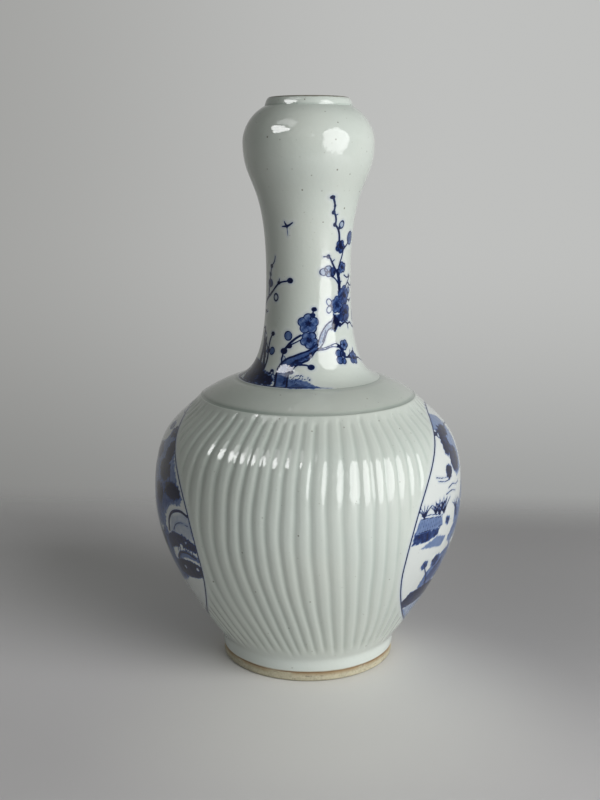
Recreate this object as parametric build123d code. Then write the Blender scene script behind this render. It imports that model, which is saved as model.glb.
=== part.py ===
from build123d import *
import math
import os

# Garlic head vase: a thrown porcelain bottle with a ribbed belly, two smooth oval panels,
# a sloping collar, a slender neck and a bulb below the lip. Millimetres, +Z up, the foot
# stands on Z = 0, and the panels face +X and -X.
os.makedirs("parts", exist_ok=True)

# Foot
foot_radius = 40.8
foot_edge_round = 1.0
bare_rim_height = 4.8
glaze_step = 0.3
foot_band_radius = 41.5
foot_band_height = 11.2
foot_recess_radius = 35.4
foot_recess_taper = 1.0
foot_recess_depth = 6.5
recess_corner = 1.8
base_thickness = 5.5

# Belly
body_start_radius = 42.6
body_start_height = 12.2
body_start_lean = 36.0
body_start_pull = 39.0
belly_radius = 72.3
belly_height = 81.0
belly_pull_down = 17.0
belly_pull_up = 33.0
shoulder_pull = 15.0
shoulder_lean = 40.0
body_wall = 4.0
shoulder_wall = 4.8
floor_reach = 28.0
floor_pull = 17.0
inside_pull_down = 27.0
inside_pull_up = 31.0

# Collar
collar_radius = 50.1
collar_height = 126.2
collar_crown = 0.6
neck_base_radius = 33.2
neck_base_height = 134.4
neck_base_wall = 5.5

# Neck, bulb and lip
neck_base_lean = 67.0
neck_base_pull = 7.5
neck_radius = 19.35
neck_height = 181.8
neck_pull_down = 39.8
neck_pull_up = 44.0
neck_wall = 3.8
head_radius = 29.6
head_height = 240.7
head_pull_down = 20.0
head_pull_up = 4.2
head_top_pull = 8.4
head_top_lean = 62.0
head_wall = 3.6
lip_root_radius = 19.6
lip_root_height = 256.2
lip_flare = -12.0
lip_root_pull = 2.4
lip_crest_radius = 17.2
lip_crest_pull_out = 1.1
lip_crest_pull_in = 0.9
mouth_radius = 15.2
mouth_edge_height = 257.9
mouth_edge_pull = 1.0
mouth_taper = 0.2
vase_height = 260.0

# Luting joints, and the ridge of slip that each leaves inside
belly_joint_height = 76.0
collar_joint_height = 130.0
head_joint_height = 206.0
belly_slip = 2.6
collar_slip = 2.2
head_slip = 1.3

# Panels: an oval, widest below its middle, given as an angle round the axis
panel_half_angle = 50.0
panel_wide_height = 61.0
panel_top_height = 121.5
panel_bottom_height = 18.0
panel_margin_angle = 1.0
panel_fade_angle = 5.0
panel_angles = (90, 270)

# Ribs round the belly, each a low arc between two grooves
rib_count = 68
rib_depth = 0.55
rib_low_end = 13.0
rib_low_fade = 8.0
rib_high_end = 125.4
rib_high_fade = 5.0
rib_sway_angle = 8.0
rib_sway_centre = 85.0
rib_sway_span = 65.0
rib_phase_angle = -0.9
rib_uneven_angle = 0.73
rib_slow_waves = 3
rib_quick_waves = 7
lower_sections = 12
upper_sections = 9

# Making
blank_width = 220.0
radius_halvings = 40


def lean(angle):
    """A unit step that leans outward from straight up by an angle in degrees."""
    return math.sin(math.radians(angle)), math.cos(math.radians(angle))


def step(point, direction, length):
    return point[0] + direction[0] * length, point[1] + direction[1] * length


up = (0, 1)
down = (0, -1)
outward = (1, 0)
inward = (-1, 0)

# Points of the outside, as radius and height
body_start = (body_start_radius, body_start_height)
belly = (belly_radius, belly_height)
collar_edge = (collar_radius, collar_height)
neck_base = (neck_base_radius, neck_base_height)
neck_waist = (neck_radius, neck_height)
head_wide = (head_radius, head_height)
lip_root = (lip_root_radius, lip_root_height)
lip_crest = (lip_crest_radius, vase_height)

# Points of the inside
floor_height = foot_recess_depth + base_thickness
floor_edge = (floor_reach, floor_height)
belly_in = (belly_radius - body_wall, belly_height)
shoulder_in = step(collar_edge, lean(180 + shoulder_lean), shoulder_wall)
neck_base_in = step(neck_base, lean(180 + shoulder_lean), neck_base_wall)
neck_waist_in = (neck_radius - neck_wall, neck_height)
head_wide_in = (head_radius - head_wall, head_height)
head_top_in = (mouth_radius + mouth_taper, lip_root_height - head_wall)
mouth_edge = (mouth_radius, mouth_edge_height)

lower_body_curve = [
    body_start,
    step(body_start, lean(body_start_lean), body_start_pull),
    step(belly, down, belly_pull_down),
    belly,
]
upper_body_curve = [
    belly,
    step(belly, up, belly_pull_up),
    step(collar_edge, lean(180 - shoulder_lean), shoulder_pull),
    collar_edge,
]
neck_foot_curve = [
    neck_base,
    step(neck_base, lean(-neck_base_lean), neck_base_pull),
    step(neck_waist, down, neck_pull_down),
    neck_waist,
]
neck_top_curve = [
    neck_waist,
    step(neck_waist, up, neck_pull_up),
    step(head_wide, down, head_pull_down),
    head_wide,
]
head_top_curve = [
    head_wide,
    step(head_wide, up, head_pull_up),
    step(lip_root, lean(180 - head_top_lean), head_top_pull),
    lip_root,
]
lip_outer_curve = [
    lip_root,
    step(lip_root, lean(lip_flare), lip_root_pull),
    step(lip_crest, outward, lip_crest_pull_out),
    lip_crest,
]
lip_inner_curve = [
    lip_crest,
    step(lip_crest, inward, lip_crest_pull_in),
    step(mouth_edge, up, mouth_edge_pull),
    mouth_edge,
]
head_inside_curve = [
    head_top_in,
    step(head_top_in, lean(180 - head_top_lean), head_top_pull),
    step(head_wide_in, up, head_pull_up),
    head_wide_in,
]
neck_inside_curve = [
    head_wide_in,
    step(head_wide_in, down, head_pull_down),
    step(neck_waist_in, up, neck_pull_up),
    neck_waist_in,
]
neck_foot_inside_curve = [
    neck_waist_in,
    step(neck_waist_in, down, neck_pull_down),
    step(neck_base_in, lean(-neck_base_lean), neck_base_pull),
    neck_base_in,
]
shoulder_inside_curve = [
    shoulder_in,
    step(shoulder_in, lean(180 - shoulder_lean), shoulder_pull),
    step(belly_in, up, inside_pull_up),
    belly_in,
]
bowl_inside_curve = [
    belly_in,
    step(belly_in, down, inside_pull_down),
    step(floor_edge, outward, floor_pull),
    floor_edge,
]


def point_on(controls, t):
    """Radius and height at t on a cubic curve of four control points."""
    s = 1 - t
    weights = (s ** 3, 3 * s * s * t, 3 * s * t * t, t ** 3)
    return tuple(sum(w * c[i] for w, c in zip(weights, controls)) for i in (0, 1))


def curve(controls):
    """The same curve as an edge in the XZ plane."""
    return Bezier(*[(r, 0, z) for r, z in controls])


def line(*points):
    return Polyline(*[(r, 0, z) for r, z in points])


def arc(start, middle, end):
    return ThreePointArc(*[(r, 0, z) for r, z in (start, middle, end)])


def turned(*edges):
    """A solid turned from an outline that starts and ends on the axis."""
    first = edges[0] @ 0
    last = edges[-1] @ 1
    closing = Line(last, first)
    return revolve(make_face([*edges, closing]), Axis.Z)


def foot_outline():
    """The base underneath, the recess, the bearing edge and the glazed band."""
    recess_top = foot_recess_radius - foot_recess_taper
    recess_side = foot_recess_depth - recess_corner
    corner_dip = recess_corner * (1 - math.cos(math.pi / 4))
    edge_dip = foot_edge_round * (1 - math.cos(math.pi / 4))
    bearing_in = foot_recess_radius + foot_edge_round
    bearing_out = foot_radius - foot_edge_round
    base_edge = (recess_top - recess_corner, foot_recess_depth)
    corner = (recess_top - corner_dip, foot_recess_depth - corner_dip)
    return [
        line((0, foot_recess_depth), base_edge),
        arc(base_edge, corner, (recess_top, recess_side)),
        line((recess_top, recess_side), (foot_recess_radius, foot_edge_round)),
        arc(
            (foot_recess_radius, foot_edge_round),
            (foot_recess_radius + edge_dip, edge_dip),
            (bearing_in, 0),
        ),
        line((bearing_in, 0), (bearing_out, 0)),
        arc((bearing_out, 0), (foot_radius - edge_dip, edge_dip), (foot_radius, foot_edge_round)),
        line(
            (foot_radius, foot_edge_round),
            (foot_radius, bare_rim_height),
            (foot_radius + glaze_step, bare_rim_height + glaze_step),
            (foot_band_radius, foot_band_height),
            body_start,
            (0, body_start_height),
        ),
    ]


def collar_outline():
    """The plain sloping collar, bowed out a little between its two fine steps."""
    middle = (
        (collar_radius + neck_base_radius + collar_crown) / 2,
        (collar_height + neck_base_height) / 2 + collar_crown,
    )
    return [
        line((0, collar_height), collar_edge),
        arc(collar_edge, middle, neck_base),
        line(neck_base, (0, neck_base_height)),
    ]


def neck_outline():
    """The neck, the bulb and the lip, as one solid of the outside shape."""
    return [
        line((0, neck_base_height), neck_base),
        curve(neck_foot_curve),
        curve(neck_top_curve),
        curve(head_top_curve),
        curve(lip_outer_curve),
        line(lip_crest, (0, vase_height)),
    ]


def cavity_outline():
    """The space inside the vase, from the floor to the lip."""
    return [
        line((0, vase_height), lip_crest),
        curve(lip_inner_curve),
        line(mouth_edge, head_top_in),
        curve(head_inside_curve),
        curve(neck_inside_curve),
        curve(neck_foot_inside_curve),
        line(neck_base_in, shoulder_in),
        curve(shoulder_inside_curve),
        curve(bowl_inside_curve),
        line(floor_edge, (0, floor_height)),
    ]


def fade(distance, width):
    """0 below zero and 1 past the width, with a soft rise between."""
    share = min(max(distance / width, 0), 1)
    return share * share * (3 - 2 * share)


def panel_half_width(height):
    """Half the panel's width at a height, as an angle round the axis."""
    rise = panel_top_height - panel_wide_height
    fall = panel_wide_height - panel_bottom_height
    reach = rise if height > panel_wide_height else fall
    share = 1 - ((height - panel_wide_height) / reach) ** 2
    return panel_half_angle * math.sqrt(max(share, 0))


def groove_depth(angle, height):
    """Depth of a groove: nothing on the panels, and soft at both of its ends."""
    from_panel = min(abs((angle - side + 180) % 360 - 180) for side in panel_angles)
    clear = from_panel - panel_half_width(height) - panel_margin_angle
    ends = fade(height - rib_low_end, rib_low_fade) * fade(rib_high_end - height, rib_high_fade)
    return rib_depth * ends * fade(clear, panel_fade_angle)


def groove_angle(index, height):
    """Angle of one groove: spaced a little unevenly, and bowed as a hand cuts it."""
    even = index * 360 / rib_count + rib_phase_angle
    turn = math.radians(index * 360 / rib_count)
    uneven = math.sin(rib_slow_waves * turn) + math.cos(rib_quick_waves * turn)
    sway = rib_sway_angle * ((height - rib_sway_centre) / rib_sway_span) ** 2
    return even - rib_uneven_angle * uneven + sway


def around(angle, radius, height):
    """A point at an angle from -Y, turning towards +X."""
    turn = math.radians(angle)
    return radius * math.sin(turn), -radius * math.cos(turn), height


def rib_section(radius, height):
    """One level outline of the belly, a ring of shallow arcs."""
    angles = [groove_angle(i, height) for i in range(rib_count)]
    depths = [groove_depth(a, height) for a in angles]
    grooves = [around(a, radius - d, height) for a, d in zip(angles, depths)]
    arcs = []
    for i, angle in enumerate(angles):
        after = (i + 1) % rib_count
        next_angle = angles[after] + (360 if after == 0 else 0)
        crest = around((angle + next_angle) / 2, radius, height)
        arcs.append(ThreePointArc(grooves[i], crest, grooves[after]))
    return Wire(arcs)


def ribbed_belly():
    """The outside of the body, lofted through level outlines from the foot to the collar."""
    lower = [point_on(lower_body_curve, i / lower_sections) for i in range(lower_sections + 1)]
    upper = [point_on(upper_body_curve, (i + 1) / upper_sections) for i in range(upper_sections)]
    return Solid.make_loft([rib_section(r, z) for r, z in lower + upper])


def slab(low, high):
    """A block wide enough for the whole vase, between two heights."""
    return Pos(0, 0, (low + high) / 2) * Box(blank_width, blank_width, high - low)


def wall_radius(controls, height):
    """Radius of a curve at a height, by halving the stretch that holds it."""
    rising = controls[0][1] < controls[-1][1]
    low, high = (0, 1) if rising else (1, 0)
    for _ in range(radius_halvings):
        middle = (low + high) / 2
        if point_on(controls, middle)[1] < height:
            low = middle
        else:
            high = middle
    return point_on(controls, low)[0]


def slip_bead(wall, height, size):
    """The ridge of slip squeezed out round the inside of a luted joint."""
    return revolve(Plane.XZ * Pos(wall, height) * Circle(size), Axis.Z)


def build_parts():
    cavity = turned(*cavity_outline())
    foot = turned(*foot_outline()) - cavity
    body = ribbed_belly() - cavity
    top = turned(*neck_outline()) - cavity
    collar = turned(*collar_outline()) - cavity

    base_radius = foot_recess_radius - foot_recess_taper - recess_corner
    base_core = Pos(0, 0, body_start_height / 2) * Cylinder(base_radius, body_start_height)
    share = (collar_joint_height - shoulder_in[1]) / (neck_base_in[1] - shoulder_in[1])
    collar_in = shoulder_in[0] + share * (neck_base_in[0] - shoulder_in[0])
    belly_wall_in = wall_radius(bowl_inside_curve, belly_joint_height)
    head_wall_in = wall_radius(neck_inside_curve, head_joint_height)
    collar_bead = slip_bead(collar_in, collar_joint_height, collar_slip)

    return {
        "base_floor": foot & base_core,
        "foot_ring": foot - base_core,
        "lower_body": body & slab(body_start_height, belly_joint_height),
        "upper_body": body & slab(belly_joint_height, collar_height),
        "shoulder_collar": collar,
        "neck": top & slab(neck_base_height, head_joint_height),
        "garlic_head": top & slab(head_joint_height, lip_root_height),
        "mouth_rim": top & slab(lip_root_height, vase_height),
        "belly_joint_slip": slip_bead(belly_wall_in, belly_joint_height, belly_slip) - body,
        "collar_joint_slip": collar_bead - collar - body,
        "head_joint_slip": slip_bead(head_wall_in, head_joint_height, head_slip) - top,
    }


for name, part in build_parts().items():
    part.label = name
    export_step(part, f"parts/{name}.step")
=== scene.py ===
import math
import bmesh
import bpy
import numpy as np
from mathutils import Euler, Matrix, Vector


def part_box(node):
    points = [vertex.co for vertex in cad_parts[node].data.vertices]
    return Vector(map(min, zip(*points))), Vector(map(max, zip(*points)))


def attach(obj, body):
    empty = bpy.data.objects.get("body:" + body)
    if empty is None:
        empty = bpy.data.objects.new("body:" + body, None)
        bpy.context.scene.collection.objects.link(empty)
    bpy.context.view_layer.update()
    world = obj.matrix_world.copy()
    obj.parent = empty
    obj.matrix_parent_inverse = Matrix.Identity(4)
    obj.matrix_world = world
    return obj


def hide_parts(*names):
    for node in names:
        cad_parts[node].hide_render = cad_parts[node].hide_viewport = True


# Looks of a porcelain bottle vase: ribbed belly, two painted side panels, painted neck, bulb and lip.
# Sizes are millimetres and degrees; mm turns them into Blender's metres when a mesh is made.
# Angles go round the vase from the front (-Y) towards +X.

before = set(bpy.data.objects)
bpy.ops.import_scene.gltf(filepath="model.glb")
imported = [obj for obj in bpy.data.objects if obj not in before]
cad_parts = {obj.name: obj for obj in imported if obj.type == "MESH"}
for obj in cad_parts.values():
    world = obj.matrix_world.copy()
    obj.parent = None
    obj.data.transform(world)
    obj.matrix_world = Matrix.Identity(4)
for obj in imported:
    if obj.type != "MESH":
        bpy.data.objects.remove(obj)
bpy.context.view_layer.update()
mm = 0.001
rng = np.random.default_rng(7)


def heightsOf(node):
    low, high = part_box(node)
    return low.z / mm, high.z / mm


footTop = heightsOf("foot_ring")[1]
bellyJoint = heightsOf("lower_body")[1]
collarFoot, neckFoot = heightsOf("shoulder_collar")
headJoint = heightsOf("neck")[1]
lipRoot, vaseTop = heightsOf("mouth_rim")
print("frame read: the vase is", round(vaseTop, 1), "mm tall")


# Shape of the turned walls, as curves of radius and height

wall = {
    "start": (42.6, footTop), "startLean": 36, "startPull": 39,
    "belly": (72.3, 81.0), "bellyPullDown": 17, "bellyPullUp": 33,
    "collar": (50.1, collarFoot), "shoulderLean": 40, "shoulderPull": 15, "collarCrown": (0.3, 0.6),
    "neckBase": (33.2, neckFoot), "neckLean": 67, "neckPull": 7.5,
    "waist": (19.35, 181.8), "waistPullDown": 39.8, "waistPullUp": 44,
    "head": (29.6, 240.7), "headPullDown": 20, "headPullUp": 4.2,
    "lipRoot": (19.6, lipRoot), "headLean": 62, "headPull": 8.4,
    "lipFlare": -12, "lipPull": 2.4, "crest": (17.2, vaseTop), "crestPullOut": 1.1, "crestPullIn": 0.9,
    "mouth": (15.2, 257.9), "mouthPull": 1.0, "mouthTaper": 0.2,
    "bodyWall": 4.0, "shoulderWall": 4.8, "neckBaseWall": 5.5, "neckWall": 3.8, "headWall": 3.6,
    "floorEdge": (28.0, 12.0), "floorPull": 17, "insidePullDown": 27, "insidePullUp": 31,
}
w = {name: np.array(value, float) if isinstance(value, tuple) else value for name, value in wall.items()}
up, out = np.array((0, 1.0)), np.array((1.0, 0))


def lean(angle):
    return np.array((math.sin(math.radians(angle)), math.cos(math.radians(angle))))


def curve(a, b, c, d, count=160):
    t = np.linspace(0, 1, count)[:, None]
    return a * (1 - t) ** 3 + 3 * b * t * (1 - t) ** 2 + 3 * c * t ** 2 * (1 - t) + d * t ** 3


def joined(*curves):
    return np.vstack([curves[0]] + [c[1:] for c in curves[1:]])


crown = (w["collar"] + w["neckBase"]) / 2 + 2 * w["collarCrown"]
bodyOutside = joined(
    curve(w["start"], w["start"] + lean(w["startLean"]) * w["startPull"],
          w["belly"] - up * w["bellyPullDown"], w["belly"]),
    curve(w["belly"], w["belly"] + up * w["bellyPullUp"],
          w["collar"] + lean(180 - w["shoulderLean"]) * w["shoulderPull"], w["collar"]))
collarOutside = curve(w["collar"], (w["collar"] + 2 * crown) / 3, (w["neckBase"] + 2 * crown) / 3,
                      w["neckBase"])
neckOutside = joined(
    curve(w["neckBase"], w["neckBase"] + lean(-w["neckLean"]) * w["neckPull"],
          w["waist"] - up * w["waistPullDown"], w["waist"]),
    curve(w["waist"], w["waist"] + up * w["waistPullUp"],
          w["head"] - up * w["headPullDown"], w["head"]),
    curve(w["head"], w["head"] + up * w["headPullUp"],
          w["lipRoot"] + lean(180 - w["headLean"]) * w["headPull"], w["lipRoot"]))
lipOutside = joined(
    curve(w["lipRoot"], w["lipRoot"] + lean(w["lipFlare"]) * w["lipPull"],
          w["crest"] + out * w["crestPullOut"], w["crest"]),
    curve(w["crest"], w["crest"] - out * w["crestPullIn"],
          w["mouth"] + up * w["mouthPull"], w["mouth"]))

shoulderIn = w["collar"] + lean(180 + w["shoulderLean"]) * w["shoulderWall"]
neckBaseIn = w["neckBase"] + lean(180 + w["shoulderLean"]) * w["neckBaseWall"]
bellyIn = w["belly"] - out * w["bodyWall"]
waistIn = w["waist"] - out * w["neckWall"]
headIn = w["head"] - out * w["headWall"]
headTopIn = np.array((w["mouth"][0] + w["mouthTaper"], lipRoot - w["headWall"]))
inside = np.vstack([
    joined(
        curve(w["floorEdge"], w["floorEdge"] + out * w["floorPull"],
              bellyIn - up * w["insidePullDown"], bellyIn),
        curve(bellyIn, bellyIn + up * w["insidePullUp"],
              shoulderIn + lean(180 - w["shoulderLean"]) * w["shoulderPull"], shoulderIn)),
    joined(
        curve(neckBaseIn, neckBaseIn + lean(-w["neckLean"]) * w["neckPull"],
              waistIn - up * w["waistPullDown"], waistIn),
        curve(waistIn, waistIn + up * w["waistPullUp"], headIn - up * w["headPullDown"], headIn),
        curve(headIn, headIn + up * w["headPullUp"],
              headTopIn + lean(180 - w["headLean"]) * w["headPull"], headTopIn)),
    [w["mouth"]],
])
outside = joined(bodyOutside, collarOutside, neckOutside)


def lengthsOf(points):
    return np.concatenate([[0], np.cumsum(np.hypot(*np.diff(points, axis=0).T))])


def radiusAt(profile, height):
    return np.interp(height, profile[:, 1], profile[:, 0])


def spaced(points, rows):
    lengths = lengthsOf(points)
    at = np.linspace(0, lengths[-1], rows + 1)
    return np.stack([np.interp(at, lengths, points[:, 0]), np.interp(at, lengths, points[:, 1])], 1)


def between(profile, low, high, rows):
    # the stretch of a profile between two heights, as evenly spaced points
    heights = profile[:, 1]
    kept = profile[(heights > low + 1e-4) & (heights < high - 1e-4)]
    return spaced(np.vstack([[(radiusAt(profile, low), low)], kept, [(radiusAt(profile, high), high)]]), rows)


# Making pieces: a closed outline is spun round the axis, then each sector is divided into its columns

spinning = {"sectors": 50, "sharpAngle": 50}


def turnOf(co):
    return np.degrees(np.arctan2(co[:, 0], -co[:, 1]))


def pointsOf(piece):
    co = np.zeros(len(piece.data.vertices) * 3)
    piece.data.vertices.foreach_get("co", co)
    return co.reshape(-1, 3) / mm


def movePoints(piece, co):
    piece.data.vertices.foreach_set("co", (co * mm).ravel())
    piece.data.update()


def spun(name, outline, columns):
    sectors = spinning["sectors"]
    bm = bmesh.new()
    points = [bm.verts.new((r * mm, 0, z * mm)) for r, z in outline]
    edges = [bm.edges.new((a, b)) for a, b in zip(points, points[1:] + points[:1])]
    bmesh.ops.spin(bm, geom=points + edges, cent=(0, 0, 0), axis=(0, 0, 1), dvec=(0, 0, 0),
                   angle=2 * math.pi, steps=sectors, use_merge=True, use_duplicate=False)
    level = [e for e in bm.edges if abs(e.verts[0].co.z - e.verts[1].co.z) < 1e-7
             and abs(e.verts[0].co.xy.length - e.verts[1].co.xy.length) < 1e-7]
    bmesh.ops.subdivide_edges(bm, edges=level, cuts=columns // sectors - 1, use_grid_fill=True)
    bmesh.ops.remove_doubles(bm, verts=bm.verts, dist=0.001 * mm)
    bmesh.ops.recalc_face_normals(bm, faces=bm.faces)
    for face in bm.faces:
        face.smooth = True
    mesh = bpy.data.meshes.new(name)
    bm.to_mesh(mesh)
    bm.free()
    piece = bpy.data.objects.new(name, mesh)
    bpy.context.scene.collection.objects.link(piece)
    co = pointsOf(piece)   # the dividing points lie on flat chords: push them out to the circle
    half = 180 / sectors
    swing = np.radians((turnOf(co) - 90) % (2 * half) - half)
    grow = np.cos(swing) / math.cos(math.radians(half))
    movePoints(piece, co * np.stack([grow, grow, np.ones_like(grow)], 1))
    mesh.set_sharp_from_angle(angle=math.radians(spinning["sharpAngle"]))
    return piece


def putAttribute(piece, name, values):
    made = piece.data.attributes.new(name, "FLOAT", "POINT")
    made.data.foreach_set("value", values.astype(np.float32))


def stands(piece, node):
    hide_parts(node)
    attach(piece, "root")
    return piece


# Ribs and panels of the belly

ribs = {
    "count": 68, "depth": 0.5, "lowEnd": 12.4, "lowFade": 8, "highEnd": 126, "highFade": 3.5,
    "sway": 8, "swayCentre": 85, "swaySpan": 65, "phase": -0.9, "uneven": 0.73,
    "slowWaves": 3, "quickWaves": 7, "narrow": 1.8, "depthUneven": 0.22, "wander": 0.2,
}
panels = {"angles": (90, -90), "half": 50, "wide": 61, "top": 121.5, "bottom": 18, "margin": 0.6, "fade": 4}


def softStep(distance, width):
    share = np.clip(distance / width, 0, 1)
    return share * share * (3 - 2 * share)


def around(turn, centre):
    return (turn - centre + 180) % 360 - 180


def offPanel(turn, height):
    # degrees from the nearer panel's edge, negative on the panel
    reach = np.where(height > panels["wide"], panels["top"] - panels["wide"],
                     panels["wide"] - panels["bottom"])
    half = panels["half"] * np.sqrt(np.clip(1 - ((height - panels["wide"]) / reach) ** 2, 0, 1))
    return np.min([np.abs(around(turn, a)) for a in panels["angles"]], axis=0) - half


def ribRelief(turn, height):
    # how far the surface lies under the turned outline in mm, and the share of a full groove
    sway = ribs["sway"] * ((height - ribs["swayCentre"]) / ribs["swaySpan"]) ** 2
    wander = ribs["wander"] * (np.sin(height / 11 + 2.1 * np.sin(turn / 9)) + 0.5 * np.sin(height / 4.3 + turn / 5))
    base = np.radians(turn - sway - ribs["phase"] - wander)
    even = base
    for _ in range(4):
        bend = np.sin(ribs["slowWaves"] * even) + np.cos(ribs["quickWaves"] * even)
        even = base + math.radians(ribs["uneven"]) * bend
    phase = even * ribs["count"] / (2 * math.pi)
    groove = ((1 + np.cos(2 * math.pi * phase)) / 2) ** ribs["narrow"]
    own = np.round(phase) % ribs["count"]
    depth = 1 + ribs["depthUneven"] * np.sin(own * 2.3) * np.cos(own * 0.7)
    lowEnd = ribs["lowEnd"] + 1.5 * np.sin(own * 1.9)
    highEnd = ribs["highEnd"] + 1.0 * np.sin(own * 2.7 + 1)
    ends = softStep(height - lowEnd, ribs["lowFade"]) * softStep(highEnd - height, ribs["highFade"])
    clear = softStep(offPanel(turn, height) - panels["margin"], panels["fade"])
    share = groove * ends * clear
    return ribs["depth"] * depth * share, share


def crowded(co, crowd):
    # moves the columns of a spun piece round, so that more of them lie on the painted panels
    grid = np.linspace(-180, 180, 1441)
    onPanel = np.min([np.abs(around(grid, a)) for a in panels["angles"]], axis=0) < panels["half"] + 2
    density = 1 + crowd * onPanel
    total = np.concatenate([[0], np.cumsum((density[1:] + density[:-1]) / 2)])
    turn = np.radians(np.interp(turnOf(co), total / total[-1] * 360 - 180, grid))
    r = np.hypot(co[:, 0], co[:, 1])
    return np.stack([r * np.sin(turn), -r * np.cos(turn), co[:, 2]], 1)


bodyMesh = {"columns": 750, "crowd": 0.1, "lowerRows": 116, "upperRows": 108, "insideRows": 12}


def bodyPiece(name, node, low, high, rows):
    outer = between(bodyOutside, low, high, rows)
    inner = between(inside, low, high, bodyMesh["insideRows"])
    piece = spun(name, np.vstack([outer, inner[::-1]]), bodyMesh["columns"])
    co = crowded(pointsOf(piece), bodyMesh["crowd"])
    turn, height = turnOf(co), co[:, 2]
    r = np.hypot(co[:, 0], co[:, 1])
    isOutside = r > radiusAt(bodyOutside, height) - 1
    relief, share = ribRelief(turn, height)
    relief, share = relief * isOutside, share * isOutside
    movePoints(piece, co * np.stack([1 - relief / r, 1 - relief / r, np.ones_like(r)], 1))
    putAttribute(piece, "groove", share)
    return stands(piece, node)


lowerBody = bodyPiece("ribbed_lower_body", "lower_body", footTop, bellyJoint, bodyMesh["lowerRows"])
upperBody = bodyPiece("ribbed_upper_body", "upper_body", bellyJoint, collarFoot, bodyMesh["upperRows"])
print("ribbed body made")

neckMesh = {"columns": 400, "neckRows": 196, "headRows": 150, "insideRows": 26}
neck = spun("painted_neck", np.vstack([
    between(neckOutside, neckFoot, headJoint, neckMesh["neckRows"]),
    between(inside, neckFoot, headJoint, neckMesh["insideRows"])[::-1]]), neckMesh["columns"])
stands(neck, "neck")
head = spun("garlic_bulb", np.vstack([
    between(neckOutside, headJoint, lipRoot, neckMesh["headRows"]),
    between(inside, headJoint, lipRoot, neckMesh["insideRows"])[::-1]]), neckMesh["columns"])
stands(head, "garlic_head")
print("neck and bulb made")

collarMesh = {"columns": 500, "rows": 46, "insideRows": 10, "grooveAt": 0.55, "grooveWidth": 0.55,
              "grooveDepth": 0.22, "stepAt": 0.3, "stepWidth": 0.35, "stepDepth": 0.14}
slope = between(collarOutside, collarFoot, neckFoot, collarMesh["rows"])
fromFoot, fromTop = slope[:, 1] - collarFoot, neckFoot - slope[:, 1]
dip = (collarMesh["grooveDepth"] * np.exp(-((fromFoot - collarMesh["grooveAt"]) / collarMesh["grooveWidth"]) ** 2)
       + collarMesh["stepDepth"] * np.exp(-((fromTop - collarMesh["stepAt"]) / collarMesh["stepWidth"]) ** 2))
slope = slope - dip[:, None] * lean(26)
collar = spun("plain_collar", np.vstack([
    slope, between(inside, collarFoot, neckFoot, collarMesh["insideRows"])[::-1]]), collarMesh["columns"])
stands(collar, "shoulder_collar")
collarHeight = pointsOf(collar)[:, 2]
collarOut = np.hypot(*pointsOf(collar)[:, :2].T) > radiusAt(outside, collarHeight) - 1.5
putAttribute(collar, "groove", collarOut * (1.3 * np.exp(-((collarHeight - collarFoot - 0.2) / 0.9) ** 2)
                                            + 0.6 * np.exp(-((neckFoot - collarHeight) / 0.5) ** 2)))

lip = {"columns": 400, "rows": 30}
lipPoints = spaced(lipOutside, lip["rows"])
lipEnd = np.array((radiusAt(inside, lipRoot), lipRoot))
rim = spun("rolled_lip", np.vstack([
    lipPoints, [lipPoints[-1] * (1 - t) + lipEnd * t for t in (0.33, 0.66, 1)]]), lip["columns"])
stands(rim, "mouth_rim")

foot = {
    "columns": 500, "radius": 40.8, "edge": 1.0, "bareHeight": 4.8, "glazeStep": 0.3,
    "bandRadius": 41.25, "bandHeight": 7.0, "covePull": (2.6, 2.4), "recess": 35.4, "taper": 1.0, "depth": 6.5, "corner": 1.8,
}


def arcPoints(centre, radius, start, end, count=6):
    angles = np.radians(np.linspace(start, end, count))
    return [(centre[0] + radius * math.cos(a), centre[1] + radius * math.sin(a)) for a in angles]


def run(*stops):
    # straight runs through (radius, height, rows) stops, without the first point
    points = []
    for (r0, z0, _), (r1, z1, rows) in zip(stops, stops[1:]):
        points += [(r0 + (r1 - r0) * i / rows, z0 + (z1 - z0) * i / rows) for i in range(1, rows + 1)]
    return points


f = foot
recessTop = f["recess"] - f["taper"]
glazeRadius, glazeHeight = f["radius"] + f["glazeStep"], f["bareHeight"] + f["glazeStep"]
bandTop = np.array((f["bandRadius"], f["bandHeight"]))
footOutline = (
    arcPoints((f["radius"] - f["edge"], f["edge"]), f["edge"], -90, 0)
    + run((f["radius"], f["edge"], 0), (f["radius"], f["bareHeight"], 10), (glazeRadius, glazeHeight, 3),
          (f["bandRadius"], f["bandHeight"], 6))
    + curve(bandTop, bandTop + up * f["covePull"][0], w["start"] - lean(w["startLean"]) * f["covePull"][1],
            w["start"], 16).tolist()[1:]
    + run((w["start"][0], footTop, 0), (recessTop - f["corner"], footTop, 1), (recessTop - f["corner"], f["depth"], 1))
    + arcPoints((recessTop - f["corner"], f["depth"] - f["corner"]), f["corner"], 90, 0)[1:]
    + run((recessTop, f["depth"] - f["corner"], 0), (f["recess"], f["edge"], 8))
    + arcPoints((f["recess"] + f["edge"], f["edge"]), f["edge"], 180, 270)[1:]
)
footRim = spun("foot_rim", footOutline, foot["columns"])
stands(footRim, "foot_ring")
print("collar, lip and foot made")


# Painting: every mark is laid on the points of its pieces, as a distance in mm or as a depth of wash

outsideLengths = lengthsOf(outside)


def softened(points, steps=4):
    # a smooth path through given points
    p = np.array(points, float)
    if len(p) < 3:
        return p
    p = np.vstack([2 * p[0] - p[1], p, 2 * p[-1] - p[-2]])
    path = []
    for a, b, c, d in zip(p, p[1:], p[2:], p[3:]):
        for t in np.arange(steps) / steps:
            path.append(b + (c - a) * t / 2 + (2 * a - 5 * b + 4 * c - d) * t ** 2 / 2
                        + (3 * b - a - 3 * c + d) * t ** 3 / 2)
    return np.array(path + [p[-2]])


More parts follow.
